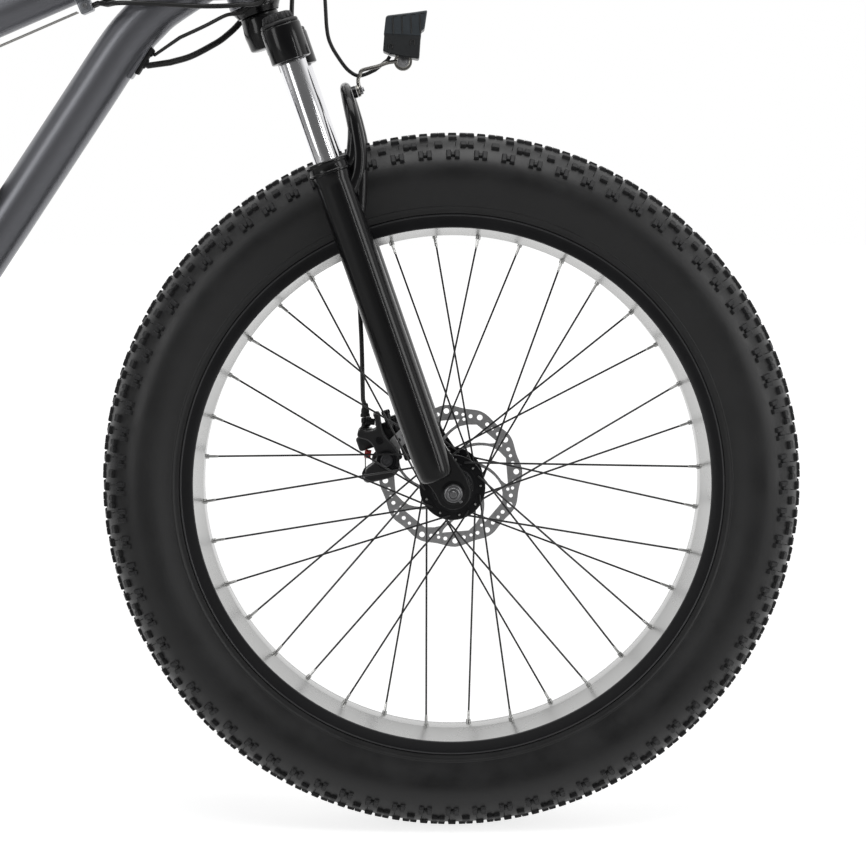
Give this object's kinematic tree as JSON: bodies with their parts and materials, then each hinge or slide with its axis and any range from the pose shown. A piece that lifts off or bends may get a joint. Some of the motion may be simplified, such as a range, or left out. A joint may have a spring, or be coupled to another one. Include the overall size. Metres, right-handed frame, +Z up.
{
  "type": "electric bicycle",
  "caption": "Fat-tyre electric bicycle with suspension fork, rear hub motor, battery on the down tube, disc brakes and one rear derailleur",
  "frame": {"origin": "on the ground, midway between the axles, in the bicycle's middle plane", "axes": "+X to the front wheel, +Y to the rider's left, +Z up"},
  "size_m": [1.8976, 0.6936, 1.1523],
  "materials": {
    "frame_grey": "satin metallic grey paint",
    "gloss_black": "gloss black paint",
    "satin_black": "satin black coating",
    "chrome": "polished hard chrome",
    "steel": "ground steel",
    "silver": "plain pale metal",
    "tyre_rubber": "dark matt rubber",
    "black_rubber": "black rubber and cable housing",
    "lamp_cover": "dark blue-grey plastic",
    "saddle_skin": "black vinyl"
  },
  "bodies": {
    "frame": {"main_frame": "frame_grey", "lower_headset_cup": "gloss_black", "cable_port": "black_rubber", "top_tube_cable_stop": "frame_grey", "battery_rail": "satin_black", "seat_clamp": "satin_black", "rear_axle": "steel", "rear_caliper": "satin_black", "derailleur_body": "satin_black", "chain": "steel", "rear_brake_cable": "black_rubber", "shift_cable": "black_rubber", "harness_cable": "black_rubber", "sensor_cable": "black_rubber"},
    "seat": {"seat_post": "satin_black", "saddle_base": "satin_black", "saddle_cushion": "saddle_skin"},
    "battery": {"battery_pack": "satin_black"},
    "cage": {"derailleur_cage": "satin_black"},
    "stand": {"kickstand": "satin_black"},
    "cranks": {"crank_right": "satin_black", "crank_left": "satin_black"},
    "right_pedal": {"pedal_right": "satin_black"},
    "left_pedal": {"pedal_left": "satin_black"},
    "sprockets": {"freewheel": "steel"},
    "rear_wheel": {"rear_hub_motor": "satin_black", "rear_rim": "gloss_black", "rear_tyre": "tyre_rubber", "rear_brake_disc": "steel"},
    "steering": {"fork_crown": "gloss_black", "stanchion_right": "chrome", "stanchion_left": "chrome", "stem": "satin_black", "handlebar": "satin_black", "grip_right": "black_rubber", "grip_left": "black_rubber", "lever_mount_right": "satin_black", "lever_mount_left": "satin_black", "display": "satin_black", "front_brake_cable": "black_rubber", "headlight_cable": "black_rubber"},
    "right_preload": {"preload_knob_right": "satin_black"},
    "left_preload": {"preload_knob_left": "satin_black"},
    "right_lever": {"brake_lever_right": "satin_black"},
    "left_lever": {"brake_lever_left": "satin_black"},
    "shifter": {"shift_lever": "satin_black"},
    "twist": {"throttle": "black_rubber"},
    "lowers": {"fork_lowers": "gloss_black", "front_axle": "steel", "front_caliper": "satin_black", "headlight_bracket": "silver"},
    "release": {"quick_release_lever": "steel"},
    "caliper_arm": {"front_caliper_arm": "steel"},
    "lamp": {"headlight": "lamp_cover"},
    "front_wheel": {"front_hub": "gloss_black", "front_spokes_right": "satin_black", "front_spokes_left": "satin_black", "front_rim": "gloss_black", "front_tyre": "tyre_rubber", "front_brake_disc": "steel"}
  },
  "joints": [
    {"name": "steering", "type": "hinge", "parent": "frame", "child": "steering", "pos_m": [0.37615, 0, 0.86867], "axis": [-0.3256, 0, 0.9455], "range_deg": [-60, 60], "deforming": ["rear_brake_cable", "shift_cable", "harness_cable", "sensor_cable"]},
    {"name": "fork_travel", "type": "slide", "parent": "steering", "child": "lowers", "axis": [-0.3256, 0, 0.9455], "range_m": [0, 0.08], "stiffness_N_per_m": 8000, "springref_m": -0.03, "deforming": ["front_brake_cable", "headlight_cable"]},
    {"name": "front_wheel_spin", "type": "hinge", "parent": "lowers", "child": "front_wheel", "pos_m": [0.58, 0, 0.3688], "axis": [0, 1, 0], "continuous": true},
    {"name": "quick_release_swing", "type": "hinge", "parent": "lowers", "child": "release", "pos_m": [0.58, 0.0919, 0.3688], "axis": [-0.9455, 0, -0.3256], "range_deg": [0, 170]},
    {"name": "caliper_arm_pull", "type": "hinge", "parent": "lowers", "child": "caliper_arm", "pos_m": [0.50457, 0.0745, 0.38513], "axis": [0, 1, 0], "range_deg": [0, 17], "stiffness_Nm_per_rad": 0.3, "springref_deg": -11.46, "deforming": ["front_brake_cable"]},
    {"name": "headlight_tilt", "type": "hinge", "parent": "lowers", "child": "lamp", "pos_m": [0.5289, 0, 0.8103], "axis": [0, 1, 0], "range_deg": [-8, 20], "deforming": ["headlight_cable"]},
    {"name": "right_preload_turn", "type": "hinge", "parent": "steering", "child": "right_preload", "pos_m": [0.40519, -0.077, 0.84271], "axis": [-0.3256, 0, 0.9455], "range_deg": [0, 180]},
    {"name": "left_preload_turn", "type": "hinge", "parent": "steering", "child": "left_preload", "pos_m": [0.40519, 0.077, 0.84271], "axis": [-0.3256, 0, 0.9455], "range_deg": [0, 180]},
    {"name": "right_brake_pull", "type": "hinge", "parent": "steering", "child": "right_lever", "pos_m": [0.37946, -0.20655, 1.12847], "axis": [0.009, 0.055, -0.9984], "range_deg": [0, 18], "stiffness_Nm_per_rad": 0.8, "springref_deg": -17.19},
    {"name": "left_brake_pull", "type": "hinge", "parent": "steering", "child": "left_lever", "pos_m": [0.37946, 0.20655, 1.12847], "axis": [-0.009, 0.055, 0.9984], "range_deg": [0, 18], "stiffness_Nm_per_rad": 0.8, "springref_deg": -17.19},
    {"name": "shift_push", "type": "hinge", "parent": "steering", "child": "shifter", "pos_m": [0.35273, -0.18418, 1.09761], "axis": [-0.009, -0.055, 0.9984], "range_deg": [0, 30], "stiffness_Nm_per_rad": 0.1, "springref_deg": -11.46},
    {"name": "throttle_twist", "type": "hinge", "parent": "steering", "child": "twist", "pos_m": [0.34356, -0.24, 1.13031], "axis": [-0.1618, -0.9852, -0.0557], "range_deg": [0, 60], "stiffness_Nm_per_rad": 0.15, "springref_deg": -17.19},
    {"name": "crank_spin", "type": "hinge", "parent": "frame", "child": "cranks", "pos_m": [-0.1, 0, 0.325], "axis": [0, 1, 0], "continuous": true},
    {"name": "sprocket_spin", "type": "hinge", "parent": "frame", "child": "sprockets", "pos_m": [-0.58, -0.072, 0.3688], "axis": [0, 1, 0], "continuous": true},
    {"name": "right_pedal_spin", "type": "hinge", "parent": "cranks", "child": "right_pedal", "pos_m": [0.07, -0.096, 0.325], "axis": [0, 1, 0], "continuous": true},
    {"name": "left_pedal_spin", "type": "hinge", "parent": "cranks", "child": "left_pedal", "pos_m": [-0.27, 0.096, 0.325], "axis": [0, 1, 0], "continuous": true},
    {"name": "rear_wheel_spin", "type": "hinge", "parent": "frame", "child": "rear_wheel", "pos_m": [-0.58, 0, 0.3688], "axis": [0, 1, 0], "continuous": true},
    {"name": "cage_swing", "type": "hinge", "parent": "frame", "child": "cage", "pos_m": [-0.577, -0.072, 0.284], "axis": [0, 1, 0], "range_deg": [-30, 15], "stiffness_Nm_per_rad": 2, "deforming": ["chain"]},
    {"name": "kickstand_swing", "type": "hinge", "parent": "frame", "child": "stand", "pos_m": [-0.405, 0.1, 0.323], "axis": [0.0889, 0.916, 0.3911], "range_deg": [0, 95]},
    {"name": "seat_height", "type": "slide", "parent": "frame", "child": "seat", "axis": [-0.2924, 0, 0.9563], "range_m": [-0.08, 0.06]},
    {"name": "battery_release", "type": "slide", "parent": "frame", "child": "battery", "axis": [0.5606, 0, 0.8281], "range_m": [0, 0.04]}
  ],
  "couplings": [
    {"joint": "sprocket_spin", "follows": "crank_spin", "ratio": 2.2},
    {"joint": "caliper_arm_pull", "follows": "left_brake_pull", "ratio": 0.9}
  ]
}
